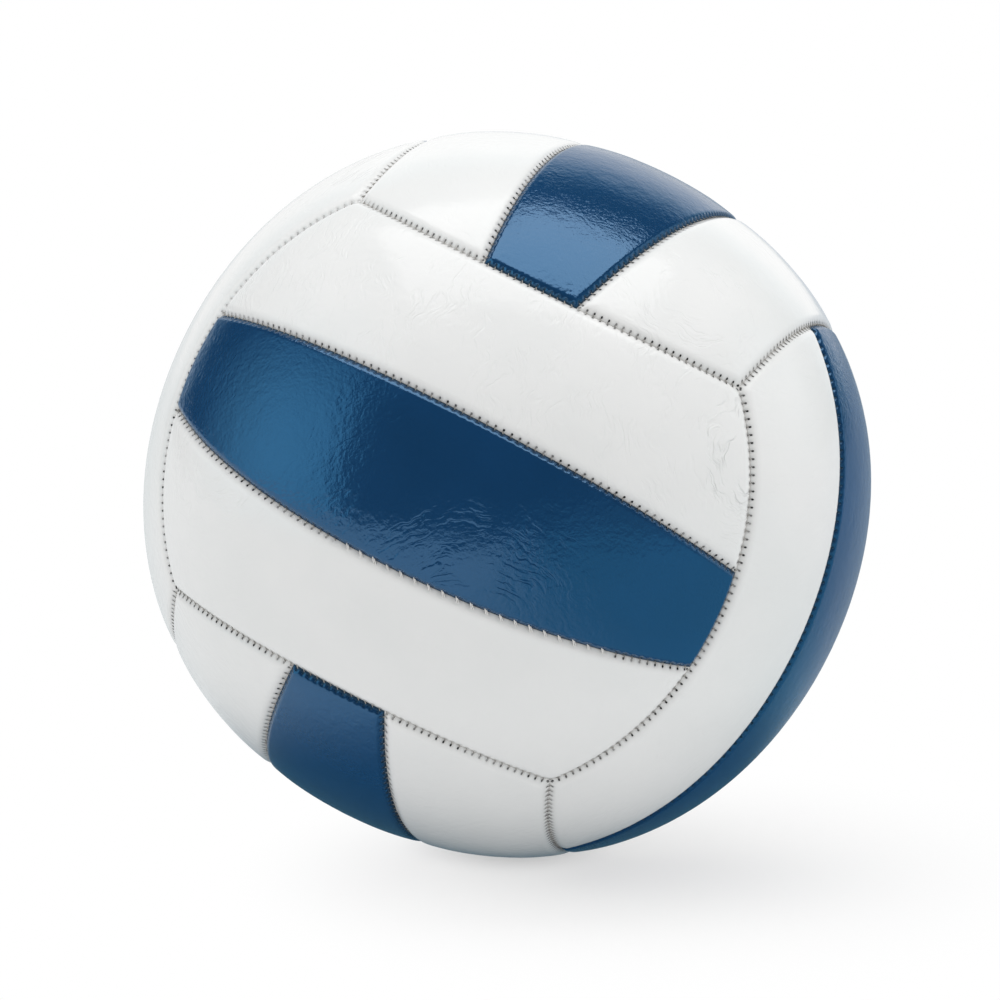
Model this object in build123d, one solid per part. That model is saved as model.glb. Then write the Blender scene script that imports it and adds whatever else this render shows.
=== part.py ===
from build123d import *
import os
from math import acos, asin, atan2, cos, degrees, radians, sin, sqrt

# A full-size indoor volleyball: eighteen padded panels, sewn edge to edge over a rubber bladder.
# The panels lie in six faces of three strips, like the sides of a cube blown up to a ball. Each face
# is turned a quarter turn from its neighbours, so the strips of one end at a long side of the next.
# The origin is the ball's centre, and +Z is up as the ball lies.

# Driving dimensions, in millimetres and degrees
BALL_RADIUS = 105.0  # a girth of 660 mm
EDGE_BOW = 8.6  # how far the strip ends of a face bulge past the cube's edge, at mid edge
STRIP_HALF_ANGLE = 13.3  # from a middle strip's centre line to its seam, seen from the ball's centre
REST_TURN = (-6.4, 25.4, -15.9)  # how the ball lies: turned about its own X, then Y, then Z

SKIN_THICKNESS = 0.8
PADDING_THICKNESS = 2.6
LAMINATE_CLEARANCE = 0.1  # between a panel's skin and its padding
HEM_BEND = 0.6  # inside radius where the skin turns down into the seam

THREAD_DIAMETER = 0.5
THREAD_CLEARANCE = 0.1  # from the thread to the hem on each side of it
THREAD_DEPTH = 2.0  # from the ball's surface to the thread's centre line
THREAD_END = 1.6  # how far a thread stops short of the seam that it runs up to

BLADDER_WALL = 0.9
BLADDER_CLEARANCE = 0.3  # from the panels' lining to the bladder

VALVE_RECESS = 2.0  # the valve's face lies this far below the ball's surface
VALVE_CLEARANCE = 0.1  # around the neck, under the flange and around the plug
NECK_WALL = 0.7  # rubber around the plug's head
FLANGE_WIDTH = 7.5  # how far the flange spreads past the neck
FLANGE_THICKNESS = 1.2
SLEEVE_WALL = 2.2  # rubber around the plug, inside the bladder
SLEEVE_LIP = 2.0  # how far the sleeve runs past the plug's inner end
PLUG_RADIUS = 2.2
PLUG_LENGTH = 16.0
PLUG_HEAD_OVERHANG = 0.6
PLUG_HEAD_THICKNESS = 1.0
PLUG_NOSE = 0.5  # chamfer at the plug's inner end
NEEDLE_BORE_RADIUS = 0.9  # closes on an inflating needle of 2 mm diameter
NEEDLE_LEAD_IN = 0.6  # countersink that guides the needle in

# Sizes that follow from the driving ones
SEAM_GAP = THREAD_DIAMETER + 2 * THREAD_CLEARANCE
LINING_RADIUS = BALL_RADIUS - SKIN_THICKNESS - LAMINATE_CLEARANCE - PADDING_THICKNESS
BLADDER_RADIUS = LINING_RADIUS - BLADDER_CLEARANCE
BLADDER_INSIDE = BLADDER_RADIUS - BLADDER_WALL
VALVE_FACE = BALL_RADIUS - VALVE_RECESS
PLUG_HEAD_RADIUS = PLUG_RADIUS + PLUG_HEAD_OVERHANG
NECK_RADIUS = PLUG_HEAD_RADIUS + VALVE_CLEARANCE + NECK_WALL
BEYOND_BALL = 2 * BALL_RADIUS  # long enough for a cutting tool to pass right out of the ball

# An edge seam is a small circle through two cube corners and the bowed middle of the edge. Seen along
# the cube's edge, its plane is a line from the corners to that middle, and its axis is square to it.
CORNER = 1 / sqrt(3)
MID_EDGE = radians(45 - EDGE_BOW)
EDGE_SLOPE = atan2(sin(MID_EDGE) - CORNER, cos(MID_EDGE) - CORNER)
SIDE_LEAN = -sin(EDGE_SLOPE)
END_LEAN = cos(EDGE_SLOPE)
SEAM_CONE = acos((SIDE_LEAN + END_LEAN) * CORNER)
EDGE_REACH = asin(CORNER / sin(SEAM_CONE))

# A strip seam is a great circle. Half its span is where it meets the edge seam at the strip's end.
STRIP_TILT = radians(STRIP_HALF_ANGLE)
STRIP_REACH = atan2(SIDE_LEAN, END_LEAN * cos(STRIP_TILT)) + acos(
    cos(SEAM_CONE) / sqrt(SIDE_LEAN**2 + (END_LEAN * cos(STRIP_TILT)) ** 2)
)

# Each face of the ball: its outward normal, the way its strips run, the faces at whose sides they end,
# and the places of its three strips, counted along the normal crossed with that way.
FACES = {
    "front": ((0, -1, 0), (1, 0, 0), ("right", "left"), ("lower", "middle", "upper")),
    "back": ((0, 1, 0), (-1, 0, 0), ("left", "right"), ("lower", "middle", "upper")),
    "right": ((1, 0, 0), (0, 0, 1), ("top", "bottom"), ("back", "middle", "front")),
    "left": ((-1, 0, 0), (0, 0, 1), ("top", "bottom"), ("front", "middle", "back")),
    "top": ((0, 0, 1), (0, 1, 0), ("back", "front"), ("right", "middle", "left")),
    "bottom": ((0, 0, -1), (0, 1, 0), ("back", "front"), ("left", "middle", "right")),
}
VALVE_FACE_NAME = "back"

X_DIR = Vector(1, 0, 0)
Y_DIR = Vector(0, 1, 0)
Z_DIR = Vector(0, 0, 1)


def edge_axis(side, end):
    """Axis of an edge seam's circle, where the strips of face end meet a long side of face side."""
    return side * SIDE_LEAN + end * END_LEAN


def panel_face(strip, radius, inset):
    """What one strip of a face about +Z covers of a sphere, drawn back from its seams by inset.

    The strips run along X. strip is 0 for the middle one and 1 for the one towards +Y. Each seam is a
    circle on the sphere, so the strip is what lies above a plane for each of its four sides.
    """
    drawn_back = inset / radius
    end_height = radius * cos(SEAM_CONE - drawn_back)
    side_height = radius * cos(SEAM_CONE + drawn_back)
    strip_seam = Y_DIR * cos(STRIP_TILT) - Z_DIR * sin(STRIP_TILT)
    sides = [(edge_axis(X_DIR, Z_DIR), end_height), (edge_axis(-X_DIR, Z_DIR), end_height)]
    if strip == 0:
        sides += [(-strip_seam, inset), (Vector(0, strip_seam.Y, -strip_seam.Z), inset)]
    else:
        sides += [(strip_seam, inset), (-edge_axis(Z_DIR, Y_DIR), -side_height)]
    ball = Solid.make_sphere(radius, Plane((0, 0, 0), x_dir=-Z_DIR, z_dir=X_DIR))
    for inward, height in sides:
        ball = split(ball, Plane(inward * height, z_dir=inward), keep=Keep.TOP)
    return ball.faces().filter_by(GeomType.SPHERE)[0]


def panel_block(strip, outer_radius, inner_radius, inset):
    """A strip's face thickened towards the ball's centre, with square edges."""
    face = panel_face(strip, outer_radius, inset)
    return Solid.thicken(face, inner_radius - outer_radius, normal_override=face.center())


def lies_on_sphere(edge, radius):
    """Whether the whole edge keeps the given distance from the ball's centre."""
    return all(abs((edge @ share).length - radius) < 1e-4 for share in (0, 0.3, 0.5, 1))


def rolled_block(strip, outer_radius, inner_radius, inset, rim_radius):
    """A panel block with its outer rim rounded off, as a sheet rolls over into its hem."""
    block = panel_block(strip, outer_radius, inner_radius, inset)
    rim = [edge for edge in block.edges() if lies_on_sphere(edge, outer_radius)]
    return fillet(rim, rim_radius)


def panel_skin(strip):
    """The glossy outer layer of a panel, with its rim rolled over and turned down as a hem."""
    hem_outside = SEAM_GAP / 2
    hem_inside = hem_outside + SKIN_THICKNESS
    outside = rolled_block(strip, BALL_RADIUS, LINING_RADIUS, hem_outside, HEM_BEND + SKIN_THICKNESS)
    pocket = rolled_block(
        strip, BALL_RADIUS - SKIN_THICKNESS, LINING_RADIUS - SKIN_THICKNESS, hem_inside, HEM_BEND
    )
    return outside - pocket


def panel_padding(strip):
    """The foam layer between a panel's hems, cut square and clear of the skin's bend."""
    inset = SEAM_GAP / 2 + SKIN_THICKNESS + HEM_BEND
    return panel_block(strip, LINING_RADIUS + PADDING_THICKNESS, LINING_RADIUS, inset)


def seam_thread(centre, axis, middle, radius, half_span):
    """Thread along an arc of a seam about axis, which runs half_span to each side of middle."""
    half = half_span - THREAD_END / radius
    first = middle * cos(half) - axis.cross(middle) * sin(half)
    start = Plane(centre, x_dir=first, z_dir=axis)
    return Solid.make_torus(radius, THREAD_DIAMETER / 2, start, major_angle=degrees(2 * half))


def edge_thread(end_sign):
    """Thread of the edge seam at one end of the strips of a face about +Z."""
    depth_radius = BALL_RADIUS - THREAD_DEPTH
    side = X_DIR * end_sign
    axis = edge_axis(side, Z_DIR)
    middle = side * END_LEAN - Z_DIR * SIDE_LEAN
    centre = axis * (depth_radius * cos(SEAM_CONE))
    return seam_thread(centre, axis, middle, depth_radius * sin(SEAM_CONE), EDGE_REACH)


def strip_threads():
    """Threads of the two seams beside the middle strip of a face about +Z."""
    depth_radius = BALL_RADIUS - THREAD_DEPTH
    threads = []
    for side in (-1, 1):
        axis = Y_DIR * cos(STRIP_TILT) - Z_DIR * (side * sin(STRIP_TILT))
        middle = Y_DIR * (side * sin(STRIP_TILT)) + Z_DIR * cos(STRIP_TILT)
        threads.append(seam_thread(Vector(), axis, middle, depth_radius, STRIP_REACH))
    return Compound(threads)


def column(radius, bottom, top):
    """A cylinder about the valve's axis, from one height above the ball's centre to another."""
    return Solid.make_cylinder(radius, top - bottom, Plane((0, 0, bottom)))


def valve_opening():
    """The round hole for the valve's neck, through the cover and the bladder's wall."""
    return column(NECK_RADIUS + VALVE_CLEARANCE, 0, BEYOND_BALL)


def bladder():
    """The air-tight rubber ball inside the cover."""
    return Sphere(BLADDER_RADIUS) - Sphere(BLADDER_INSIDE) - valve_opening()


def valve_sleeve():
    """The rubber valve body: a neck in the cover, a flange under the bladder's wall and a tube within."""
    plug_end = VALVE_FACE - PLUG_LENGTH
    flange_top = BLADDER_INSIDE - VALVE_CLEARANCE
    flange_bottom = flange_top - FLANGE_THICKNESS
    flange = column(NECK_RADIUS + FLANGE_WIDTH, 0, BEYOND_BALL) & Sphere(flange_top)
    flange = flange - Sphere(flange_bottom)
    tube_radius = PLUG_RADIUS + VALVE_CLEARANCE + SLEEVE_WALL
    tube = column(tube_radius, plug_end - SLEEVE_LIP, flange_bottom)
    neck = column(NECK_RADIUS, flange_bottom - FLANGE_THICKNESS, VALVE_FACE)
    plug_hole = column(PLUG_RADIUS + VALVE_CLEARANCE, 0, BEYOND_BALL)
    head_seat = column(
        PLUG_HEAD_RADIUS + VALVE_CLEARANCE, VALVE_FACE - PLUG_HEAD_THICKNESS, BEYOND_BALL
    )
    return flange + tube + neck - plug_hole - head_seat


def valve_plug():
    """The soft plug that closes on the needle. Its head sits in the sleeve's mouth."""
    plug_end = VALVE_FACE - PLUG_LENGTH
    stem = column(PLUG_RADIUS, plug_end, VALVE_FACE)
    stem = chamfer(stem.edges().sort_by(Axis.Z)[0], PLUG_NOSE)
    head = column(PLUG_HEAD_RADIUS, VALVE_FACE - PLUG_HEAD_THICKNESS, VALVE_FACE)
    needle_bore = column(NEEDLE_BORE_RADIUS, 0, BEYOND_BALL)
    lead_in = Solid.make_cone(
        NEEDLE_BORE_RADIUS,
        NEEDLE_BORE_RADIUS + NEEDLE_LEAD_IN,
        NEEDLE_LEAD_IN,
        Plane((0, 0, VALVE_FACE - NEEDLE_LEAD_IN)),
    )
    return stem + head - needle_bore - lead_in


def placed(face, shape, half_turns=0):
    """A shape made about +Z, turned to its face of the ball and with the ball to where it lies."""
    normal, along, _, _ = FACES[face]
    face_plane = Plane((0, 0, 0), x_dir=along, z_dir=normal)
    return Rotation(*REST_TURN) * face_plane.location * Rotation(0, 0, 180 * half_turns) * shape


skins = {strip: panel_skin(strip) for strip in (0, 1)}
paddings = {strip: panel_padding(strip) for strip in (0, 1)}
nodes = {}
for face, (_, _, end_faces, strip_names) in FACES.items():
    for place, strip_name in zip((-1, 0, 1), strip_names):
        layers = {"panel": skins[abs(place)], "padding": paddings[abs(place)]}
        for layer, shape in layers.items():
            if face == VALVE_FACE_NAME and place == 0:
                shape = shape - valve_opening()
            nodes[f"{face}_{strip_name}_{layer}"] = placed(face, shape, half_turns=int(place < 0))
    for end_face, end_sign in zip(end_faces, (1, -1)):
        nodes[f"{face}_{end_face}_edge_thread"] = placed(face, edge_thread(end_sign))
    nodes[f"{face}_strip_threads"] = placed(face, strip_threads())
nodes["bladder"] = placed(VALVE_FACE_NAME, bladder())
nodes["valve_sleeve"] = placed(VALVE_FACE_NAME, valve_sleeve())
nodes["valve_plug"] = placed(VALVE_FACE_NAME, valve_plug())

os.makedirs("parts", exist_ok=True)
for name, shape in nodes.items():
    shape.label = name
    export_step(shape, f"parts/{name}.step")
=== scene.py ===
from math import acos, asin, atan2, cos, pi, radians, sin, sqrt

import bpy
from mathutils import Euler, Matrix, Vector


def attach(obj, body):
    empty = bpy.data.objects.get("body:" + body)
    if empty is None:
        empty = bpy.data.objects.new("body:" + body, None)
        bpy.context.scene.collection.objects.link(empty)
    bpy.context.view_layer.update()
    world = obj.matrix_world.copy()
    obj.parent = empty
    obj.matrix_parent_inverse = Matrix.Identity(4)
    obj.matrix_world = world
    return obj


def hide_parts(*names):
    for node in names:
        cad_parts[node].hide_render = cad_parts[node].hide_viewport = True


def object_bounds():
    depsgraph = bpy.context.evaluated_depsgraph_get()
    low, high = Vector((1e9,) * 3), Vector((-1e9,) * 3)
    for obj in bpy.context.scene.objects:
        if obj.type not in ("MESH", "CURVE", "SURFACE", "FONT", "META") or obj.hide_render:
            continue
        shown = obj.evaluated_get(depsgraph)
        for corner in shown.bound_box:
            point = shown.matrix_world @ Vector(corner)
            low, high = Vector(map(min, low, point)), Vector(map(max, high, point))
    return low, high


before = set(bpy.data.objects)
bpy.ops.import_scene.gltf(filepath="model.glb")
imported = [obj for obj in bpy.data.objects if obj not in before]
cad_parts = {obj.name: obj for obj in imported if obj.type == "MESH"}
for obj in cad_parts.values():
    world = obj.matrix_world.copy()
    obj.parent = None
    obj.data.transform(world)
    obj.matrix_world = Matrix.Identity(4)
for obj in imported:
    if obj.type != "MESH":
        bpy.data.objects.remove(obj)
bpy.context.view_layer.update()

# Bladder
# The air-tight rubber ball inside the cover, dipped in latex and cured. The cover holds it to its size
# when it is blown up.
MM = 0.001


class Value:
    """One node socket. Arithmetic on it adds Math nodes to the tree that the socket belongs to."""

    def __init__(self, socket):
        self.socket = socket

    @staticmethod
    def node(tree, kind, settings, sockets, output=0):
        """An output of a new node, whose settings are made before its sockets are filled or linked."""
        made = tree.nodes.new(kind)
        for name, setting in settings.items():
            setattr(made, name, setting)
        for name, value in sockets.items():
            if isinstance(value, Value):
                tree.links.new(value.socket, made.inputs[name])
            else:
                made.inputs[name].default_value = value
        return Value(made.outputs[output])

    def ordered(self, operation, *values):
        """A Math node on values in this order."""
        tree = self.socket.id_data
        return Value.node(tree, "ShaderNodeMath", {"operation": operation}, dict(enumerate(values)))

    def math(self, operation, *others):
        """A Math node on this value and then others."""
        return self.ordered(operation, self, *others)

    def __add__(self, other):
        return self.ordered("ADD", self, other)

    def __radd__(self, other):
        return self.ordered("ADD", other, self)

    def __sub__(self, other):
        return self.ordered("SUBTRACT", self, other)

    def __rsub__(self, other):
        return self.ordered("SUBTRACT", other, self)

    def __mul__(self, other):
        return self.ordered("MULTIPLY", self, other)

    def __rmul__(self, other):
        return self.ordered("MULTIPLY", other, self)

    def __truediv__(self, other):
        return self.ordered("DIVIDE", self, other)

    def __rtruediv__(self, other):
        return self.ordered("DIVIDE", other, self)

    def __abs__(self):
        return self.ordered("ABSOLUTE", self)

    def rise(self, low, high):
        """0 up to low and 1 from high on, with a smooth rise between."""
        settings = {"interpolation_type": "SMOOTHSTEP"}
        sockets = {"Value": self, "From Min": low, "From Max": high}
        return Value.node(self.socket.id_data, "ShaderNodeMapRange", settings, sockets)


def new_material(name):
    """A material, its tree, its Principled shader and the point that is shaded."""
    material = bpy.data.materials.new(name)
    material.use_nodes = True
    tree = material.node_tree
    point = Value.node(tree, "ShaderNodeTexCoord", {}, {}, "Object")
    return material, tree, tree.nodes["Principled BSDF"], point


def noise(tree, point, size, detail=2.0, seed=0.0):
    """Noise from 0 to 1 whose patches are about size metres across."""
    sockets = {"Vector": point, "Scale": 1 / size, "Detail": detail, "W": seed}
    return Value.node(tree, "ShaderNodeTexNoise", {"noise_dimensions": "4D"}, sockets)


def colour_mix(tree, share, first, second):
    """The first colour where share is 0, and the second where it is 1."""
    # Mix has a set of sockets for each data type, so those for colours are picked by number.
    return Value.node(tree, "ShaderNodeMix", {"data_type": "RGBA"}, {0: share, 6: first, 7: second}, 2)


def bumped(tree, height, depth):
    """The normal of a surface that height raises, with depth metres for a height of 1."""
    return Value.node(tree, "ShaderNodeBump", {}, {"Strength": 1.0, "Distance": depth, "Height": height})


def feed(tree, shader, sources):
    """Links values to a shader's sockets by name."""
    for name, value in sources.items():
        tree.links.new(value.socket, shader.inputs[name])


RUBBER_ROUGHNESS = 0.5
BLOOM_MATT = 0.2
BLOOM_RISE = (0.35, 0.7)


def rubber(name, dark, bloomed, patch):
    """Moulded rubber: matt, with a bloom of talc in soft patches and a fine grain from the mould."""
    material, tree, shader, point = new_material(name)
    grain_size = patch / 12
    grain_depth = patch / 100
    bloom = noise(tree, point, patch, detail=4.0)
    grain = noise(tree, point, grain_size)
    sources = {
        "Base Color": colour_mix(tree, bloom.rise(*BLOOM_RISE), dark, bloomed),
        "Roughness": RUBBER_ROUGHNESS + BLOOM_MATT * bloom,
        "Normal": bumped(tree, grain, grain_depth),
    }
    feed(tree, shader, sources)
    return material


def dress(node, material):
    """Gives a CAD node that keeps its own shape its finish."""
    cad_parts[node].material_slots[0].material = material


LATEX = (0.012, 0.012, 0.013, 1)
LATEX_BLOOM = (0.03, 0.03, 0.031, 1)
LATEX_PATCH = 9 * MM
dress("bladder", rubber("bladder_latex", LATEX, LATEX_BLOOM, LATEX_PATCH))

# Valve
# A moulded rubber sleeve, cured to the bladder's wall, whose neck fills the hole in the cover. The soft
# plug in it closes on the inflating needle.
SLEEVE = (0.020, 0.022, 0.026, 1)
SLEEVE_BLOOM = (0.05, 0.052, 0.056, 1)
SLEEVE_PATCH = 3 * MM
PLUG = (0.006, 0.006, 0.007, 1)
PLUG_BLOOM = (0.018, 0.018, 0.019, 1)
PLUG_PATCH = 2 * MM
dress("valve_sleeve", rubber("valve_sleeve_rubber", SLEEVE, SLEEVE_BLOOM, SLEEVE_PATCH))
dress("valve_plug", rubber("valve_plug_rubber", PLUG, PLUG_BLOOM, PLUG_PATCH))

# Panels
# Eighteen pads of grained, glossy PVC sheet on foam and cloth: six faces of three strips, white beside
# blue. Each rim is rolled over, turned down and sewn to its neighbour's, so the seams lie in a groove.
BALL_RADIUS = 105 * MM
REST_TURN = (-6.4, 25.4, -15.9)  # degrees: how the ball lies, turned about its own X, then Y, then Z
EDGE_BOW = 8.6  # degrees by which the middle of a seam round a face bows out
STRIP_ANGLE = radians(13.3)  # half the angle that a middle strip spans
SQUARENESS = 0.0425  # the cover is stiffest at its corners, which stand out a little
MEAN_CORNERS = 0.6  # the mean of x^4 + y^4 + z^4 over a ball of radius 1

# Each face's way out, the way along its strips, the faces that its strips end at, and its strips.
FACES = {
    "front": ((0, -1, 0), (1, 0, 0), ("right", "left"), ("lower", "middle", "upper")),
    "back": ((0, 1, 0), (-1, 0, 0), ("left", "right"), ("lower", "middle", "upper")),
    "right": ((1, 0, 0), (0, 0, 1), ("top", "bottom"), ("back", "middle", "front")),
    "left": ((-1, 0, 0), (0, 0, 1), ("top", "bottom"), ("front", "middle", "back")),
    "top": ((0, 0, 1), (0, 1, 0), ("back", "front"), ("right", "middle", "left")),
    "bottom": ((0, 0, -1), (0, 1, 0), ("back", "front"), ("left", "middle", "right")),
}
VALVE_PANEL = "back_middle_panel"

# The seam round a face is a small circle through two corners of a cube and the bowed middle of the edge.
CORNER = 1 / sqrt(3)
CUBE_EDGE = 45  # degrees from the middle of a face
MID_EDGE = radians(CUBE_EDGE - EDGE_BOW)
EDGE_SLOPE = atan2(sin(MID_EDGE) - CORNER, cos(MID_EDGE) - CORNER)
SIDE_LEAN = -sin(EDGE_SLOPE)
END_LEAN = cos(EDGE_SLOPE)
SEAM_CONE = acos((SIDE_LEAN + END_LEAN) * CORNER)

# Machine stitches, but for the last twenty, which close the cover by hand in a seam of the front face.
EDGE_PITCH = 2.22 * MM
STRIP_PITCH = 2.55 * MM
HAND_STITCHES = 20
CLOSING_PITCH = 1.7 * STRIP_PITCH
CLOSING_START = -6 * STRIP_PITCH  # from the middle of the seam
CLOSING_LENGTH = HAND_STITCHES * CLOSING_PITCH


def new_tree(name, inputs):
    """A geometry tree with named inputs, and a Value for each of them."""
    tree = bpy.data.node_groups.new(name, "GeometryNodeTree")
    for label, kind in inputs.items():
        tree.interface.new_socket(label, in_out="INPUT", socket_type="NodeSocket" + kind)
    tree.interface.new_socket("Geometry", in_out="OUTPUT", socket_type="NodeSocketGeometry")
    entry = tree.nodes.new("NodeGroupInput")
    return tree, {label: Value(entry.outputs[label]) for label in inputs}


def end_tree(tree, geometry, material):
    """Ends a tree with smooth faces, real instances and the piece's material."""
    smooth = Value.node(tree, "GeometryNodeSetShadeSmooth", {}, {"Geometry": geometry})
    real = Value.node(tree, "GeometryNodeRealizeInstances", {}, {"Geometry": smooth})
    sockets = {"Geometry": real, "Material": material}
    painted = Value.node(tree, "GeometryNodeSetMaterial", {}, sockets)
    tree.links.new(painted.socket, tree.nodes.new("NodeGroupOutput").inputs["Geometry"])


scene = bpy.context.scene


def piece_from(tree, name, sizes, place):
    """The plain mesh that a tree makes with these sizes, turned to its place on the ball."""
    piece = bpy.data.objects.new(name, bpy.data.meshes.new(name))
    scene.collection.objects.link(piece)
    modifier = piece.modifiers.new(name, "NODES")
    modifier.node_group = tree
    for socket in tree.interface.items_tree:
        if socket.in_out == "INPUT":
            modifier[socket.identifier] = sizes[socket.name]
    graph = bpy.context.evaluated_depsgraph_get()
    made = bpy.data.meshes.new_from_object(piece.evaluated_get(graph))
    piece.modifiers.remove(modifier)
    made.transform(place)
    piece.data = made
    return piece


def parts(vector):
    """The X, Y and Z of a vector."""
    first = Value.node(vector.socket.id_data, "ShaderNodeSeparateXYZ", {}, {"Vector": vector})
    return [Value(output) for output in first.socket.node.outputs]


def whole(tree, x, y, z):
    """A vector of three values."""
    return Value.node(tree, "ShaderNodeCombineXYZ", {}, {"X": x, "Y": y, "Z": z})


def scaled(tree, vector, factor):
    """A vector times a number."""
    return Value.node(tree, "ShaderNodeVectorMath", {"operation": "SCALE"}, {0: vector, "Scale": factor})


def unit(tree, vector):
    """A vector of length 1 that points the way of another."""
    return Value.node(tree, "ShaderNodeVectorMath", {"operation": "NORMALIZE"}, {0: vector})


def of_two(tree, operation, first, second, output="Vector"):
    """What a sum, a product or a measure of two vectors gives."""
    sockets = {0: first, 1: second}
    return Value.node(tree, "ShaderNodeVectorMath", {"operation": operation}, sockets, output)


def moved(tree, geometry, position):
    """Geometry with its points at position."""
    return Value.node(tree, "GeometryNodeSetPosition", {}, {"Geometry": geometry, "Position": position})


def shifted(tree, geometry, shift, scale=(1, 1, 1)):
    """Geometry that is scaled about the origin and then shifted."""
    sockets = {"Geometry": geometry, "Translation": shift, "Scale": scale}
    return Value.node(tree, "GeometryNodeTransform", {}, sockets)


def joined(tree, *geometries):
    """Several geometries as one."""
    together = Value.node(tree, "GeometryNodeJoinGeometry", {}, {})
    for geometry in geometries:
        tree.links.new(geometry.socket, together.socket.node.inputs["Geometry"])
    return together


def stored(tree, geometry, label, value):
    """Geometry whose points hold a value that a material can read by its label."""
    settings = {"data_type": "FLOAT", "domain": "POINT"}
    sockets = {"Geometry": geometry, "Name": label, "Value": value}
    return Value.node(tree, "GeometryNodeStoreNamedAttribute", settings, sockets)


def ball_shape(x, y, z):
    """How far the cover lies from the ball's centre, in the direction x, y, z of a face's own frame."""
    corners = x * x * x * x + y * y * y * y + z * z * z * z
    return BALL_RADIUS * (1 + SQUARENESS * (MEAN_CORNERS - corners))


EVEN_STEPS = 0.4  # the share of a panel's steps that is spread evenly


def crowded(step):
    """Spreads steps from -1 to 1 so that they lie closer together near the ends."""
    return EVEN_STEPS * step + (1 - EVEN_STEPS) * (step * (pi / 2)).math("SINE")


def strip_direction(tree, u, v, outer):
    """The direction of a point of a strip about +Z, for u along it and v across it, each from -1 to 1."""

    def end_angle(lean):
        across = END_LEAN * lean.math("COSINE")
        reach = (across * across + SIDE_LEAN**2).math("SQRT")
        return across.ordered("ARCTAN2", SIDE_LEAN, across) + (cos(SEAM_CONE) / reach).math("ARCCOSINE")

    if outer:
        share = (v + 1) / 2
        straight = STRIP_ANGLE + share * (radians(CUBE_EDGE) - STRIP_ANGLE)
        along = u * end_angle(straight)
        over = cos(SEAM_CONE) / (u * asin(CORNER)).math("COSINE")
        side = over.math("ARCSINE") - atan2(SIDE_LEAN, END_LEAN)
        lean = straight + share * (side - radians(CUBE_EDGE))
    else:
        lean = v * STRIP_ANGLE
        along = u * end_angle(lean)
    flat = along.math("COSINE")
    return whole(tree, along.math("SINE"), flat * lean.math("SINE"), flat * lean.math("COSINE"))


def seam_fields(x, y, z, outer, start, length):
    """For a direction on a strip: the gap to its end seams and to its side seams, with the count of stitches
    from the middle of each seam to the nearest point on it. Hand stitches run for length from start."""
    ring = BALL_RADIUS * sin(SEAM_CONE)
    end_gap = BALL_RADIUS * (SEAM_CONE - (SIDE_LEAN * abs(x) + END_LEAN * z).math("ARCCOSINE"))
    end_run = ring * y.math("ARCTAN2", END_LEAN * abs(x) - SIDE_LEAN * z)
    strip_run = BALL_RADIUS * x.math("ARCTAN2", cos(STRIP_ANGLE) * z + sin(STRIP_ANGLE) * abs(y))
    strip_side = cos(STRIP_ANGLE) * abs(y) - sin(STRIP_ANGLE) * z
    strip_gap = BALL_RADIUS * abs(strip_side.math("ARCSINE"))
    fields = {"end_gap": end_gap, "end_stitch": end_run / EDGE_PITCH}
    by_hand = (strip_run - start).math("MAXIMUM", 0).math("MINIMUM", length)
    if not outer:
        by_hand = by_hand * y.math("LESS_THAN", 0)
    strip_stitch = (strip_run - by_hand * (1 - STRIP_PITCH / CLOSING_PITCH)) / STRIP_PITCH
    fields["hand_sewn"] = (by_hand * (length - by_hand)).math("GREATER_THAN", 0)
    if outer:
        edge_gap = BALL_RADIUS * ((END_LEAN * y + SIDE_LEAN * z).math("ARCCOSINE") - SEAM_CONE)
        edge_run = ring * x.math("ARCTAN2", END_LEAN * z - SIDE_LEAN * y)
        edge_nearer = strip_gap.math("GREATER_THAN", edge_gap)
        fields["side_gap"] = strip_gap.math("MINIMUM", edge_gap)
        fields["side_stitch"] = strip_stitch + edge_nearer * (edge_run / EDGE_PITCH - strip_stitch)
    else:
        fields["side_gap"] = strip_gap
        fields["side_stitch"] = strip_stitch
    return fields


RIM_FADE = 4 * MM  # over which the foam thins out and the wrinkles flatten at a rim
RIM_WELD = 0.02 * MM  # joins the sheet and the lining, which meet at the rim
SHARP_FOLD = radians(40)
DRILL_SIDES = 64
DRILL_LENGTH = 20 * MM
CREASE_LEAST = 0.25  # the share of a crease's strength that is left away from its ring
CREASE_STARTS = (0.3, 0.55)  # the ring starts and ends at these shares of the crease's size
CREASE_ENDS = (1.0, 1.4)


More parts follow.
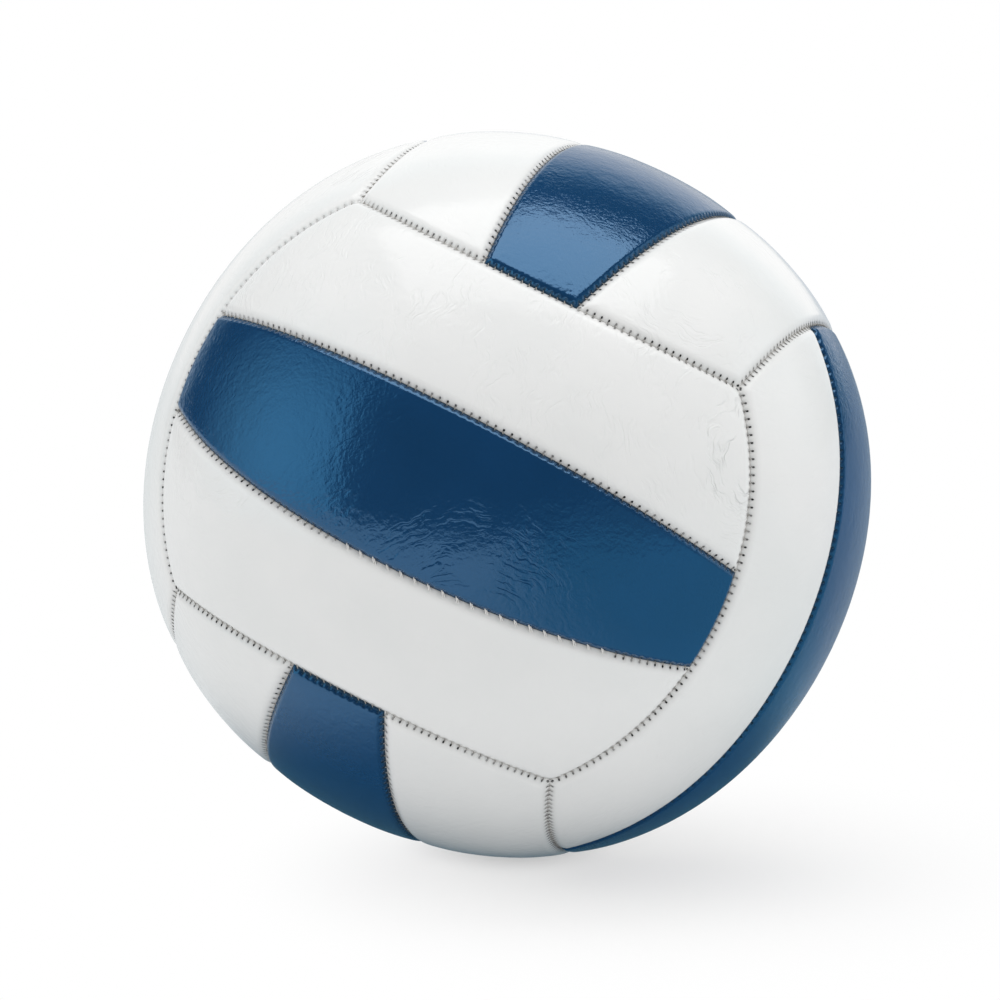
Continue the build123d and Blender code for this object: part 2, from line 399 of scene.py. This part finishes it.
def panel_tree(name, outer, valve):
    """A padded panel about +Z: the rolled sheet on top, the lining below, and a hole where the valve is."""
    sizes = {
        "Columns": "Int",
        "Rows": "Int",
        "Roll Width": "Float",
        "Roll Depth": "Float",
        "Thickness": "Float",
        "Crown": "Float",
        "Crown Width": "Float",
        "Wrinkle": "Float",
        "Wrinkle Size": "Float",
        "Valve Radius": "Float",
        "Crease At": "Vector",
        "Crease Size": "Float",
        "Crease Strength": "Float",
        "Closing Start": "Float",
        "Closing Length": "Float",
        "Seed": "Float",
        "Material": "Material",
    }
    tree, given = new_tree(name, sizes)
    place = Value.node(tree, "GeometryNodeInputPosition", {}, {})
    sockets = {"Size X": 2.0, "Size Y": 2.0, "Vertices X": given["Columns"], "Vertices Y": given["Rows"]}
    grid = Value.node(tree, "GeometryNodeMeshGrid", {}, sockets)
    u, v, _ = parts(place)
    cut = moved(tree, grid, strip_direction(tree, crowded(u), crowded(v), outer))

    toward = unit(tree, place)
    x, y, z = parts(toward)
    fields = seam_fields(x, y, z, outer, given["Closing Start"], given["Closing Length"])
    gap = fields["end_gap"].math("MINIMUM", fields["side_gap"])
    facing = of_two(tree, "DOT_PRODUCT", toward, given["Crease At"], "Value")
    fields["crease_ring"] = BALL_RADIUS * facing.math("ARCCOSINE")
    share = fields["crease_ring"] / given["Crease Size"]
    ring = (1 - CREASE_LEAST) * share.rise(*CREASE_STARTS) * (1 - share.rise(*CREASE_ENDS))
    fields["crease"] = given["Crease Strength"] * (CREASE_LEAST + ring)

    def nearness(distance):
        closer = (1 - distance / given["Roll Width"]).math("MAXIMUM", 0)
        return closer * closer

    away = (1 - nearness(fields["end_gap"])) * (1 - nearness(fields["side_gap"]))
    drop = given["Roll Depth"] * (1 - away)
    hollow = 1 - (gap / given["Crown Width"]).math("MINIMUM", 1)
    swell = given["Crown"] * (1 - hollow * hollow)
    unevenness = noise(tree, place, given["Wrinkle Size"], detail=3.0, seed=given["Seed"])
    wrinkle = given["Wrinkle"] * (unevenness - 0.5) * gap.rise(0.0, RIM_FADE)
    shape = ball_shape(x, y, z)
    sheet = moved(tree, cut, scaled(tree, toward, shape + swell - drop + wrinkle))
    foam = (given["Thickness"] - given["Roll Depth"]) * gap.rise(0.0, RIM_FADE)
    lining = moved(tree, cut, scaled(tree, toward, shape - given["Roll Depth"] - foam))
    lining = Value.node(tree, "GeometryNodeFlipFaces", {}, {"Mesh": lining})
    sockets = {"Geometry": joined(tree, sheet, lining), "Distance": RIM_WELD}
    pad = Value.node(tree, "GeometryNodeMergeByDistance", {}, sockets)
    if valve:
        sockets = {"Vertices": DRILL_SIDES, "Radius": given["Valve Radius"], "Depth": DRILL_LENGTH}
        drill = Value.node(tree, "GeometryNodeMeshCylinder", {}, sockets)
        settings = {"operation": "DIFFERENCE", "solver": "EXACT"}
        sockets = {"Mesh 1": pad, "Mesh 2": shifted(tree, drill, (0, 0, BALL_RADIUS))}
        pad = Value.node(tree, "GeometryNodeMeshBoolean", settings, sockets)
    angle = Value.node(tree, "GeometryNodeInputMeshEdgeAngle", {}, {}, "Unsigned Angle")
    folded = angle.math("GREATER_THAN", SHARP_FOLD)
    sockets = {"Geometry": pad, "Selection": folded, "Shade Smooth": False}
    pad = Value.node(tree, "GeometryNodeSetShadeSmooth", {"domain": "EDGE"}, sockets)
    for label, field in fields.items():
        pad = stored(tree, pad, label, field)
    end_tree(tree, pad, given["Material"])
    return tree


def attribute(tree, label):
    """The value that a piece's points hold under a label."""
    settings = {"attribute_type": "GEOMETRY", "attribute_name": label}
    return Value.node(tree, "ShaderNodeAttribute", settings, {}, "Fac")


# Along a rim: needle holes, painted dark as the shade inside them, the pull of each stitch, and painted
# shade that darkens the rim towards the seam's groove.
HOLE_GAP = 0.7 * MM  # from the seam to its needle holes
HOLE_RADIUS = 0.4 * MM
HOLE_CORE = 0.55 * HOLE_RADIUS  # dark all over
HOLE_DEPTH = 0.4 * MM
HOLE_PATCH = 9 * MM  # patches in which the holes show more or less
HOLE_RISE = (0.35, 0.6)
PULL_DEPTH = 0.3 * MM
PULL_REACH = (0.2 * MM, 1.8 * MM)
GROOVE_SHADE = 0.28
GROOVE_SHADE_REACH = (0.2 * MM, 2.7 * MM)
TIGHT_AT = (-63 * MM, -21 * MM, 81 * MM)  # where the seams are drawn tight and the holes close up
TIGHT_REACH = (25 * MM, 45 * MM)
TIGHT_LEAST = 0.3  # what is left there of the holes and of the painted groove shade

# Creases: thin furrows along swaying arcs, broken here and there.
CREASE_SIZE = 3.2 * MM
CREASE_THIN = 0.09
CREASE_DRAW = 0.24  # creases are drawn out along their arcs
CREASE_BEND = 12 * MM  # how far an arc sways
CREASE_SWAY = 10 * MM  # how long a sway is
CREASE_BREAK = 9 * MM
BREAK_RISE = (0.38, 0.6)

# All over: a fine grain and a leather grain, coarser in patches, on a sheet that isn't quite even.
GRAIN_SIZE = 1.0 * MM
LEATHER_SIZE = 2.2 * MM
UNEVEN_SIZE = 8 * MM
COARSE_PATCH = 36 * MM
COARSE_RISE = (0.42, 0.6)
TINT_PATCH = 30 * MM
TINT_RISE = (0.3, 0.7)
GRAIN_MATT = 0.06
CUT_MATT = 0.5  # in a hole and along a cut rim


def pvc(name, colours, hem_and_shade_width, roughness, grain_depth, fold_depth):
    """Glossy PVC sheet with a leather grain and arched creases, pricked and pulled in where it is sewn, with
    painted shade in its needle holes, on its cut rims and towards its seam grooves.
    """
    material, tree, shader, point = new_material(name)

    def pricks(gap, stitch):
        along = stitch.math("WRAP", 0.5, -0.5) * STRIP_PITCH
        across = gap - HOLE_GAP
        off = (along * along + across * across).math("SQRT")
        return 1 - off.rise(HOLE_CORE, HOLE_RADIUS)

    def pulls(gap, stitch):
        wave = 0.5 + 0.5 * (stitch * (2 * pi)).math("COSINE")
        return wave * (1 - gap.rise(*PULL_REACH))

    side_gap, side_stitch = attribute(tree, "side_gap"), attribute(tree, "side_stitch")
    end_gap, end_stitch = attribute(tree, "end_gap"), attribute(tree, "end_stitch")
    gap = side_gap.math("MINIMUM", end_gap)
    off_tight = of_two(tree, "DISTANCE", point, TIGHT_AT, "Value")
    loose = TIGHT_LEAST + (1 - TIGHT_LEAST) * off_tight.rise(*TIGHT_REACH)
    fade = loose * (0.5 + 0.5 * noise(tree, point, HOLE_PATCH, seed=2.0).rise(*HOLE_RISE))
    side_holes = (1 - attribute(tree, "hand_sewn")) * pricks(side_gap, side_stitch)
    # Painted shade: each needle hole is a dark spot, darkest at its core.
    holes = fade * side_holes.math("MAXIMUM", pricks(end_gap, end_stitch))
    pulled = pulls(side_gap, side_stitch).math("MAXIMUM", pulls(end_gap, end_stitch))
    # Painted shade: the rim's colour darkens towards the seam, where its groove lies in shade.
    darker_share = GROOVE_SHADE * loose * (1 - gap.rise(*GROOVE_SHADE_REACH))
    # Along the cut rim the colour turns to the cloth's: the cut edge, and on the blue a wider dark band of
    # painted shade where the rim turns down into shadow.
    cut = 1 - gap.rise(0.25 * hem_and_shade_width, hem_and_shade_width)

    drawn = scaled(tree, point, CREASE_DRAW)
    sway = noise(tree, point, CREASE_SWAY, seed=4.0)
    bent = attribute(tree, "crease_ring") + CREASE_BEND * sway
    arcs = noise(tree, drawn, CREASE_SIZE, detail=3.0, seed=bent)
    furrows = 1 - abs(arcs - 0.5).rise(0.0, CREASE_THIN)
    broken = noise(tree, point, CREASE_BREAK, seed=3.0).rise(*BREAK_RISE)
    folds = furrows * broken * attribute(tree, "crease")

    patches = noise(tree, point, TINT_PATCH, detail=3.0).rise(*TINT_RISE)
    coarse = 0.5 + 0.5 * noise(tree, point, COARSE_PATCH, seed=5.0).rise(*COARSE_RISE)
    grain = noise(tree, point, GRAIN_SIZE)
    leather = noise(tree, point, LEATHER_SIZE, detail=3.0)
    unevenness = noise(tree, point, UNEVEN_SIZE)
    relief = grain_depth * (coarse * (grain + leather) + unevenness) - fold_depth * folds
    relief = relief - PULL_DEPTH * pulled - HOLE_DEPTH * holes
    tint = colour_mix(tree, patches, colours["deep"], colours["pale"])
    tint = colour_mix(tree, darker_share.math("MAXIMUM", cut), tint, colours["cloth_and_shade"])
    sources = {
        "Base Color": colour_mix(tree, holes, tint, colours["hole"]),
        "Roughness": roughness + GRAIN_MATT * grain + CUT_MATT * holes.math("MAXIMUM", cut),
        "Normal": bumped(tree, relief, 1),
    }
    feed(tree, shader, sources)
    return material, shader


# Each finish: its two tones, the colour of its cut rims, which also tints its painted groove shade, and the
# painted shade of its needle holes.
WHITE = {
    "deep": (0.80, 0.81, 0.805, 1),
    "pale": (0.83, 0.835, 0.83, 1),
    "cloth_and_shade": (0.62, 0.61, 0.59, 1),
    "hole": (0.02, 0.02, 0.02, 1),
}
WHITE_FINISH = {"hem_and_shade_width": 0.2 * MM, "roughness": 0.12, "grain_depth": 0.015 * MM, "fold_depth": 0.16 * MM}
white_pvc, white_shader = pvc("white_pvc", WHITE, **WHITE_FINISH)
white_shader.inputs["Specular IOR Level"].default_value = 0.34
BLUE = {
    "deep": (0.006, 0.043, 0.12, 1),
    "pale": (0.007, 0.048, 0.135, 1),
    "cloth_and_shade": (0.012, 0.02, 0.035, 1),
    "hole": (0.002, 0.008, 0.02, 1),
}
BLUE_FINISH = {"hem_and_shade_width": 0.8 * MM, "roughness": 0.11, "grain_depth": 0.15 * MM, "fold_depth": 0.1 * MM}
blue_pvc, blue_shader = pvc("blue_pvc", BLUE, **BLUE_FINISH)
blue_shader.inputs["IOR"].default_value = 1.78
blue_shader.inputs["Specular Tint"].default_value = (0.34, 0.65, 1.0, 1)
blue_shader.inputs["Specular IOR Level"].default_value = 0.94

panel_sizes = {
    "Columns": 280,
    "Rows": 80,
    "Roll Depth": 1.4 * MM,
    "Thickness": 3.5 * MM,
    "Crown": 0.4 * MM,
    "Crown Width": 14 * MM,
    "Wrinkle": 0.12 * MM,
    "Wrinkle Size": 14 * MM,
    "Valve Radius": 3.7 * MM,
}
trees = {
    "middle": panel_tree("middle_panel", outer=False, valve=False),
    "valve": panel_tree("valve_panel", outer=False, valve=True),
    "outer": panel_tree("outer_panel", outer=True, valve=False),
}
WHITE_ROLL = 3.2 * MM
BLUE_ROLL = 2.2 * MM
ROLL_WIDTHS = {"left_middle_panel": 7 * MM}  # this strip's rims are drawn in further
CLOSED_BY_HAND = {
    "front_middle_panel": CLOSING_START,
    "front_lower_panel": -CLOSING_START - CLOSING_LENGTH,
}

# Where the creases of a panel lie in its own frame, how far they spread, and how deep they are. Other
# panels have middling ones, each at a place of its own.
CREASES = {
    "front_middle_panel": ((0.29, -0.30, 0.91), 30 * MM, 1.0),
    "front_upper_panel": ((0.68, 0.43, 0.59), 14 * MM, 1.8),
    "top_middle_panel": ((-0.84, 0.04, 0.54), 26 * MM, 0.3),
}
OTHER_SPREAD = 20 * MM
OTHER_STRENGTH = 0.5
OTHER_ALONG = 0.8
OTHER_ACROSS = 0.5
OUTER_ACROSS = 0.4  # an outer strip lies to one side of its face's middle
rest_turn = Euler([radians(angle) for angle in REST_TURN], "ZYX").to_matrix().to_4x4()
half_turn = Matrix.Rotation(pi, 4, "Z")
face_places = {}
for face, (normal, along, _, strips) in FACES.items():
    up, side = Vector(normal), Vector(along)
    face_places[face] = rest_turn @ Matrix((side, up.cross(side), up)).transposed().to_4x4()
    for place, strip in zip((-1, 0, 1), strips):
        node = f"{face}_{strip}_panel"
        kind = "valve" if node == VALVE_PANEL else "outer" if place else "middle"
        slot, material = ("white_pvc", white_pvc) if place else ("blue_pvc", blue_pvc)
        turned = face_places[face] @ half_turn if place < 0 else face_places[face]
        number = len(face_places) * 3 + place
        across = OTHER_ACROSS * cos(number) + OUTER_ACROSS * abs(place)
        other = ((OTHER_ALONG * sin(number), across, 1), OTHER_SPREAD, OTHER_STRENGTH)
        crease_at, crease_size, crease_strength = CREASES.get(node, other)
        sizes = panel_sizes | {
            "Roll Width": ROLL_WIDTHS.get(node, WHITE_ROLL if place else BLUE_ROLL),
            "Crease At": Vector(crease_at).normalized(),
            "Crease Size": crease_size,
            "Crease Strength": crease_strength,
            "Closing Start": CLOSED_BY_HAND.get(node, 0.0),
            "Closing Length": CLOSING_LENGTH if node in CLOSED_BY_HAND else 0.0,
            "Seed": float(number),
            "Material": material,
        }
        pad = piece_from(trees[kind], f"{face}_{strip}_pad", sizes, turned)
        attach(pad, "root")
        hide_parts(node, f"{face}_{strip}_padding")

# Stitches
# Waxed polyester thread, machine sewn from the inside through both rims. Between the two needle holes of
# a stitch a short bar of it shows, drawn down into the groove. The hand stitches are doubled and looser.
THREAD = (0.40, 0.38, 0.35, 1)
THREAD_SOILED = (0.22, 0.21, 0.20, 1)
THREAD_CLEAN = (0.80, 0.79, 0.77, 1)
THREAD_PATCH = 6 * MM
THREAD_RISE = (0.4, 0.65)
THREAD_ROUGHNESS = 0.45
FIBRE_SIZE = 0.15 * MM
FIBRE_DEPTH = 0.03 * MM
FIBRE_MATT = 0.2


def thread_material():
    """Waxed thread: satin, with fine fibres, and soiled in patches but for the hand stitches."""
    material, tree, shader, point = new_material("seam_thread")
    darker_share = noise(tree, point, THREAD_PATCH, detail=3.0).rise(*THREAD_RISE)
    fibre = noise(tree, point, FIBRE_SIZE)
    tint = colour_mix(tree, darker_share, THREAD, THREAD_SOILED)
    sources = {
        "Base Color": colour_mix(tree, attribute(tree, "hand_sewn"), tint, THREAD_CLEAN),
        "Roughness": THREAD_ROUGHNESS + FIBRE_MATT * fibre,
        "Normal": bumped(tree, fibre, FIBRE_DEPTH),
    }
    feed(tree, shader, sources)
    return material


STITCH_STEPS = 4
THREAD_SIDES = 6
LEAST_STITCH, MOST_STITCH = 0.85, 1.15  # how much the stitches differ in size
HAND_STITCH = (1.4, 1.4, 1.4)
SECOND_STRAND = (0.7, 0.9, 0.9)  # the second strand of a hand stitch, against the first
STRAND_ALONG = 0.15  # how far along the first it lies, as a share of a stitch's reach
STRAND_BESIDE = 1.5  # and how far beside it, in threads


def seam_tree():
    """A row of stitches along an arc about an axis, each from hole to hole across the seam's groove."""
    sizes = {
        "Axis": "Vector",
        "Middle": "Vector",
        "Cone": "Float",
        "Pitch": "Float",
        "First": "Int",
        "Count": "Int",
        "Closing Pitch": "Float",
        "Closing Start": "Float",
        "Closing Length": "Float",
        "Thread": "Float",
        "Reach": "Float",
        "Slant": "Float",
        "Depth": "Float",
        "Arch": "Float",
        "Hand Lift": "Float",
        "Seed": "Int",
        "Material": "Material",
    }
    tree, given = new_tree("stitched_seam", sizes)
    row = Value.node(tree, "GeometryNodeMeshLine", {}, {"Count": given["Count"]})
    number = given["First"] + Value.node(tree, "GeometryNodeInputIndex", {}, {})
    before = number - given["Closing Start"] / given["Pitch"]
    closing = given["Closing Length"] / given["Closing Pitch"]
    by_hand = before.math("MAXIMUM", 0).math("MINIMUM", closing)
    flat = given["Cone"].math("SINE")
    ring = BALL_RADIUS * flat
    angle = (number * given["Pitch"] + by_hand * (given["Closing Pitch"] - given["Pitch"])) / ring
    run = of_two(tree, "CROSS_PRODUCT", given["Axis"], given["Middle"])
    first = scaled(tree, given["Axis"], given["Cone"].math("COSINE"))
    second = scaled(tree, given["Middle"], flat * angle.math("COSINE"))
    third = scaled(tree, run, flat * angle.math("SINE"))
    toward = of_two(tree, "ADD", of_two(tree, "ADD", first, second), third)
    x, y, z = parts(toward)
    height = ball_shape(x, y, z) - given["Depth"]
    row = moved(tree, row, scaled(tree, toward, height))

    sockets = {
        "Resolution": STITCH_STEPS,
        "Start": whole(tree, -1 * given["Reach"], -1 * given["Slant"], -1 * given["Arch"]),
        "Middle": whole(tree, 0.0, 0.0, given["Arch"]),
        "End": whole(tree, given["Reach"], given["Slant"], -1 * given["Arch"]),
    }
    path = Value.node(tree, "GeometryNodeCurveQuadraticBezier", {}, sockets)
    sockets = {"Resolution": THREAD_SIDES, "Radius": given["Thread"] / 2}
    section = Value.node(tree, "GeometryNodeCurvePrimitiveCircle", {}, sockets)
    sockets = {"Curve": path, "Profile Curve": section, "Fill Caps": True}
    stitch = Value.node(tree, "GeometryNodeCurveToMesh", {}, sockets)
    beside = whole(tree, STRAND_ALONG * given["Reach"], STRAND_BESIDE * given["Thread"], 0.0)
    strands = joined(tree, stitch, shifted(tree, stitch, beside, SECOND_STRAND))
    lift = whole(tree, 0.0, 0.0, given["Hand Lift"])
    hand_stitch = shifted(tree, stored(tree, strands, "hand_sewn", 1.0), lift, HAND_STITCH)

    settings = {"primary_axis": "Z", "secondary_axis": "X"}
    sockets = {"Primary Axis": unit(tree, toward), "Secondary Axis": given["Axis"]}
    turn = Value.node(tree, "FunctionNodeAxesToRotation", settings, sockets)
    # Random Value, too, has a set of sockets for each data type.
    sockets = {2: LEAST_STITCH, 3: MOST_STITCH, "Seed": given["Seed"]}
    size = Value.node(tree, "FunctionNodeRandomValue", {"data_type": "FLOAT"}, sockets, 1)
    closed = (by_hand * (closing - by_hand)).math("GREATER_THAN", 0)
    rows = []
    for shape, chosen in ((stitch, 1 - closed), (hand_stitch, closed)):
        sockets = {"Points": row, "Selection": chosen, "Instance": shape, "Rotation": turn, "Scale": size}
        rows.append(Value.node(tree, "GeometryNodeInstanceOnPoints", {}, sockets))
    end_tree(tree, joined(tree, *rows), given["Material"])
    return tree


END_CLEARANCE = 1 * MM  # at least, from the last stitch to the end of its seam
stitch_sizes = {
    "Thread": 0.27 * MM,
    "Reach": 0.65 * MM,
    "Slant": 0.4 * MM,
    "Depth": 1.05 * MM,
    "Arch": 0.1 * MM,
    "Hand Lift": 0.4 * MM,
    "Closing Pitch": CLOSING_PITCH,
    "Closing Start": 0.0,
    "Closing Length": 0.0,
    "Material": thread_material(),
}
seam = seam_tree()
edge_half = asin(CORNER / sin(SEAM_CONE))
strip_reach = END_LEAN * cos(STRIP_ANGLE)
strip_half = atan2(SIDE_LEAN, strip_reach) + acos(cos(SEAM_CONE) / sqrt(SIDE_LEAN**2 + strip_reach**2))
edge_count = int((edge_half * BALL_RADIUS * sin(SEAM_CONE) - END_CLEARANCE) / EDGE_PITCH)
strip_count = int((strip_half * BALL_RADIUS - END_CLEARANCE) / STRIP_PITCH)
saved = round(CLOSING_LENGTH / STRIP_PITCH - CLOSING_LENGTH / CLOSING_PITCH)
edge_sizes = stitch_sizes | {
    "Cone": SEAM_CONE,
    "Pitch": EDGE_PITCH,
    "First": -edge_count,
    "Count": 2 * edge_count + 1,
}
strip_sizes = stitch_sizes | {
    "Cone": pi / 2,
    "Pitch": STRIP_PITCH,
    "First": -strip_count,
    "Count": 2 * strip_count + 1,
}
closing_sizes = {
    "Closing Start": -CLOSING_START - CLOSING_LENGTH,
    "Closing Length": CLOSING_LENGTH,
    "Count": 2 * strip_count + 1 - saved,
}
for number, (face, (_, _, end_faces, _)) in enumerate(FACES.items()):
    for end_face, end in zip(end_faces, (1, -1)):
        sizes = edge_sizes | {
            "Axis": Vector((end * SIDE_LEAN, 0, END_LEAN)),
            "Middle": Vector((end * END_LEAN, 0, -SIDE_LEAN)),
            "Seed": number,
        }
        row = piece_from(seam, f"{face}_{end_face}_stitches", sizes, face_places[face])
        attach(row, "root")
        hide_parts(f"{face}_{end_face}_edge_thread")
    rows = []
    for side in (1, -1):
        sizes = strip_sizes | {
            "Axis": Vector((0, side * cos(STRIP_ANGLE), -sin(STRIP_ANGLE))),
            "Middle": Vector((0, side * sin(STRIP_ANGLE), cos(STRIP_ANGLE))),
            "Seed": number,
        }
        if face == "front" and side == -1:
            sizes = sizes | closing_sizes
        rows.append(piece_from(seam, f"{face}_strip_stitches", sizes, face_places[face]))
    with bpy.context.temp_override(active_object=rows[0], selected_editable_objects=rows):
        bpy.ops.object.join()
    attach(rows[0], "root")
    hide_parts(f"{face}_strip_threads")

# Studio
# A white sweep under one large soft light, in a room whose pale side walls fill the shadows. The glossy
# panels mirror the floor, the dark ceiling, a glow on each side and the backdrop.
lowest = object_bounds()[0].z
FLOOR_HALF = 6.0
FLOOR_WHITE = 0.9
FLOOR_ROUGHNESS = 0.9
floor_mesh = bpy.data.meshes.new("floor")
corners = [(x * FLOOR_HALF, y * FLOOR_HALF, lowest) for x, y in ((-1, -1), (1, -1), (1, 1), (-1, 1))]
floor_mesh.from_pydata(corners, [], [(0, 1, 2, 3)])
floor = bpy.data.objects.new("floor", floor_mesh)
scene.collection.objects.link(floor)
floor_paint, tree, shader, point = new_material("floor_white")
shader.inputs["Base Color"].default_value = (FLOOR_WHITE, FLOOR_WHITE, FLOOR_WHITE, 1)
shader.inputs["Roughness"].default_value = FLOOR_ROUGHNESS
shader.inputs["Specular IOR Level"].default_value = 0.0

# The camera sees the floor glow white, less so under the ball and in a wider patch on its right, where
# the shadow shows.
WHITE_UNDER = 0.36
WHITE_BESIDE = 0.29
WHITE_AWAY = 0.35
CONTACT_REACH = (0.005, 0.035)
SHADOW_AT = (0.045, -0.035)
SHADOW_REACH = (0.02, 0.13)
x, y, _ = parts(point)
contact = (x * x + y * y).math("SQRT")
shadow_x, shadow_y = x - SHADOW_AT[0], y - SHADOW_AT[1]
aside = (shadow_x * shadow_x + shadow_y * shadow_y).math("SQRT")
white = WHITE_UNDER + WHITE_BESIDE * contact.rise(*CONTACT_REACH) + WHITE_AWAY * aside.rise(*SHADOW_REACH)
light_path = tree.nodes.new("ShaderNodeLightPath")
seen = Value(light_path.outputs["Is Camera Ray"])
mirrored = Value(light_path.outputs["Is Glossy Ray"])
mirrored = mirrored.math("MAXIMUM", Value(light_path.outputs["Is Transmission Ray"]))

# The panels mirror it dark near the ball, pale on the left, and cool on the right, less so at the back.
WHITE_LIGHT = (1.0, 1.0, 1.0, 1)
FLOOR_NEAR = (0.055, 0.13, 0.18, 1)
FLOOR_LEFT = (0.68, 0.73, 0.75, 1)
FLOOR_RIGHT = (0.15, 0.38, 0.45, 1)
FLOOR_BACK = (0.36, 0.44, 0.52, 1)
NEAR_REACH = (0.08, 0.16)
LEFT_TO_RIGHT = (-0.15, 0.15)
FRONT_TO_BACK = (-0.05, 0.15)
floor_right = colour_mix(tree, y.rise(*FRONT_TO_BACK), FLOOR_RIGHT, FLOOR_BACK)
floor_far = colour_mix(tree, x.rise(*LEFT_TO_RIGHT), FLOOR_LEFT, floor_right)
floor_mirrored = colour_mix(tree, contact.rise(*NEAR_REACH), FLOOR_NEAR, floor_far)
glow = tree.nodes.new("ShaderNodeEmission")
blend = tree.nodes.new("ShaderNodeMixShader")
tree.links.new(colour_mix(tree, mirrored, WHITE_LIGHT, floor_mirrored).socket, glow.inputs["Color"])
tree.links.new((seen * white + mirrored).socket, blend.inputs["Fac"])
tree.links.new(shader.outputs["BSDF"], blend.inputs[1])
tree.links.new(glow.outputs["Emission"], blend.inputs[2])
tree.links.new(blend.outputs["Shader"], tree.nodes["Material Output"].inputs["Surface"])
floor_mesh.materials.append(floor_paint)

# The soft light hangs over the ball and shines straight down.
OVERHEAD_AT = (0.1, -0.01, 1.0)
OVERHEAD_WIDTH = 1.2
OVERHEAD_DEPTH = 0.78
OVERHEAD_RADIANCE = 1.9
overhead_lamp = bpy.data.lights.new("overhead", "AREA")
overhead_lamp.shape = "RECTANGLE"
overhead_lamp.size = OVERHEAD_WIDTH
overhead_lamp.size_y = OVERHEAD_DEPTH
overhead_lamp.energy = OVERHEAD_RADIANCE * pi * OVERHEAD_WIDTH * OVERHEAD_DEPTH
overhead = bpy.data.objects.new("overhead", overhead_lamp)
overhead.location = OVERHEAD_AT
scene.collection.objects.link(overhead)

world = bpy.data.worlds.new("studio")
world.use_nodes = True
scene.world = world
tree = world.node_tree
look = Value.node(tree, "ShaderNodeTexCoord", {}, {}, "Generated")


def direction(azimuth, elevation):
    """The way from the ball to a place in the studio, from straight ahead and from level, in degrees."""
    a, e = radians(azimuth), radians(elevation)
    return Vector((sin(a) * cos(e), -cos(a) * cos(e), sin(e)))


def towards(way):
    """1 where the look is along way, 0 where it is square to it and -1 where it is away from it."""
    return of_two(tree, "DOT_PRODUCT", look, way, "Value")


# The panels mirror the dark ceiling, a glow on the left with one hard edge, one on the right, the walls
# and the backdrop.
CEILING = 0.03
CEILING_AT = Vector((-0.319, -0.094, 0.943))
CEILING_EDGE = 0.1435
CEILING_SOFTNESS = 0.05
WALLS = 0.17
WALLS_LEAST = 0.35
WALLS_AT = direction(60, 0)
WALLS_RISE = (-0.6, 0.3)
LEFT_GLOW = 1.1
LEFT_GLOW_AT = direction(-74, 12)
LEFT_GLOW_EDGE = 0.62
LEFT_CUT_AT = direction(-142, 0)
LEFT_CUT = (-0.02, 0.05)
RIGHT_GLOW = 0.45
RIGHT_GLOW_AT = direction(105, 14)
RIGHT_GLOW_RISE = (0.93, 0.985)
BACKDROP = 0.85
BACKDROP_AT = direction(180, 0)
BACKDROP_RISE = (0.66, 0.93)
dark = towards(CEILING_AT).rise(CEILING_EDGE - CEILING_SOFTNESS, CEILING_EDGE + CEILING_SOFTNESS)
left_glow = ((towards(LEFT_GLOW_AT) - LEFT_GLOW_EDGE) / (1 - LEFT_GLOW_EDGE)).math("MAXIMUM", 0)
left_glow = left_glow * left_glow * towards(LEFT_CUT_AT).rise(*LEFT_CUT)
right_glow = towards(RIGHT_GLOW_AT).rise(*RIGHT_GLOW_RISE)
backdrop = towards(BACKDROP_AT).rise(*BACKDROP_RISE)
walls = WALLS * (WALLS_LEAST + (1 - WALLS_LEAST) * towards(WALLS_AT).rise(*WALLS_RISE))
mirrored = walls + dark * (CEILING - walls) + LEFT_GLOW * left_glow + RIGHT_GLOW * right_glow
mirrored = mirrored + BACKDROP * backdrop

# The room fills the shadows, most from its sides. The camera sees white beyond the floor.
FILL = 0.355
FILL_SIDES = 0.95
SIDE_AT = direction(90, 0)
COOL_LIGHT = (0.42, 0.85, 1.0, 1)
RIGHT_WHITENESS = 0.5
fill = FILL + FILL_SIDES * abs(towards(SIDE_AT))
camera_ray = Value.node(tree, "ShaderNodeLightPath", {}, {}, "Is Camera Ray")
glossy_ray = Value.node(tree, "ShaderNodeLightPath", {}, {}, "Is Glossy Ray")
room = fill + glossy_ray * (mirrored - fill)
strength = room + camera_ray * (1 - room)
cool = glossy_ray * (1 - backdrop) * (1 - RIGHT_WHITENESS * right_glow)
background = tree.nodes["Background"]
tree.links.new(strength.socket, background.inputs["Strength"])
tree.links.new(colour_mix(tree, cool, WHITE_LIGHT, COOL_LIGHT).socket, background.inputs["Color"])

# Camera
# A long lens in front of the ball and a little above it. It looks at the ball's centre, and its shift
# puts the ball where the photograph has it.
CAMERA_ELEVATION = 12
CAMERA_DISTANCE = 1.652
LENS = 205.06
SENSOR = 36
PHOTO_SIZE = 1000
BALL_AT = (508.27, 494.37)  # pixels of the photograph
NEAREST_SEEN = 0.05
camera = bpy.data.objects.new("camera", bpy.data.cameras.new("camera"))
camera.location = CAMERA_DISTANCE * direction(0, CAMERA_ELEVATION)
camera.rotation_euler = (-camera.location).to_track_quat("-Z", "Y").to_euler()
camera.data.lens = LENS
camera.data.sensor_width = SENSOR
camera.data.shift_x = (PHOTO_SIZE / 2 - BALL_AT[0]) / PHOTO_SIZE
camera.data.shift_y = (BALL_AT[1] - PHOTO_SIZE / 2) / PHOTO_SIZE
camera.data.clip_start = NEAREST_SEEN
scene.collection.objects.link(camera)
scene.camera = camera
scene.view_settings.view_transform = "Standard"
